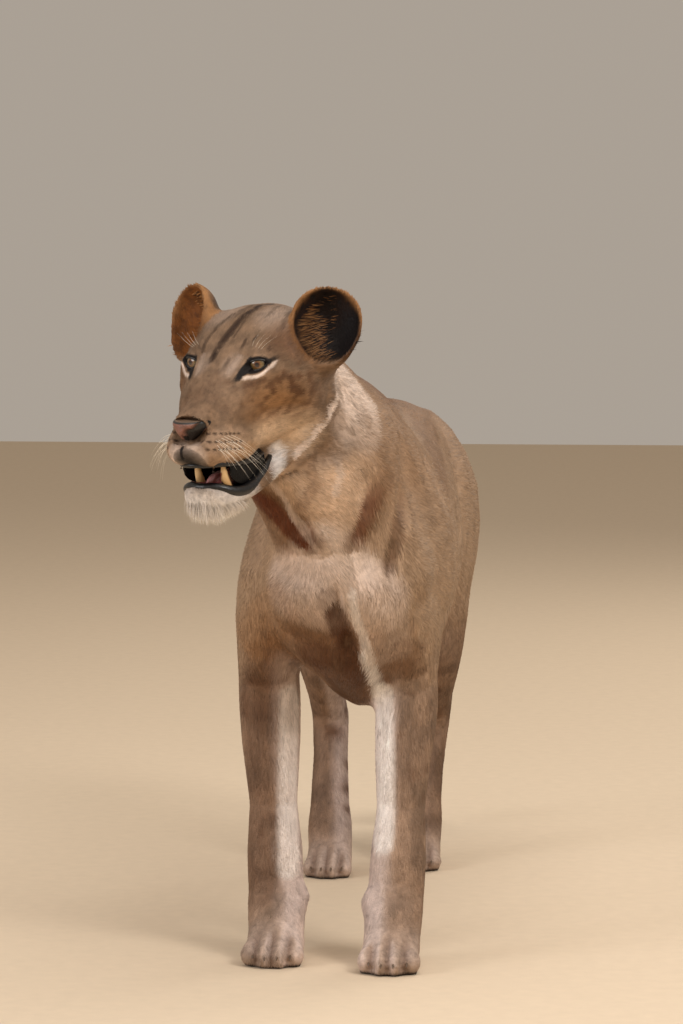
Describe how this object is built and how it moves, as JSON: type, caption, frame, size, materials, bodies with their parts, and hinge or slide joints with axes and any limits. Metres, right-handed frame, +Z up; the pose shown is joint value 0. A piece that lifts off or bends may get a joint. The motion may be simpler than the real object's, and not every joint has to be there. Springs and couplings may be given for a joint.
{
  "type": "lioness",
  "caption": "Standing adult lioness, life size, with its head turned to its right, ears forward and mouth half open.",
  "frame": {"origin": "on the floor, under the middle of the model's box", "axes": "+Z up, the animal faces -Y, and +X is its own left"},
  "size_m": [0.4408, 1.9472, 1.1098],
  "materials": {
    "coat": "short tawny fur, greyer on the back and sides",
    "pale_coat": "cream fur of the chin, lips and belly",
    "ear_coat": "dark brown and black fur in and behind the ears",
    "brush_coat": "black brush of the tail",
    "nose_skin": "bare, slightly moist skin, pinkish brown with dark edges",
    "lip_skin": "moist black skin of the lips and lids",
    "eye": "amber iris under a clear cornea",
    "tooth": "worn ivory enamel",
    "tongue": "moist pink tongue and mouth lining",
    "whisker": "stiff white hairs",
    "claw": "dark horn"
  },
  "bodies": {
    "root": {"ear_left": "ear_coat", "ear_right": "ear_coat", "eye_left": "eye", "eye_right": "eye", "foreleg_left": "coat", "foreleg_right": "coat", "forepaw_left": "coat", "forepaw_right": "coat", "head": "coat", "hindleg_left": "coat", "hindleg_right": "coat", "hindpaw_left": "coat", "hindpaw_right": "coat", "jaw": "pale_coat", "neck": "coat", "nose": "nose_skin", "tail": "coat", "tail_brush": "brush_coat", "tongue": "tongue", "trunk": "coat"}
  },
  "joints": []
}
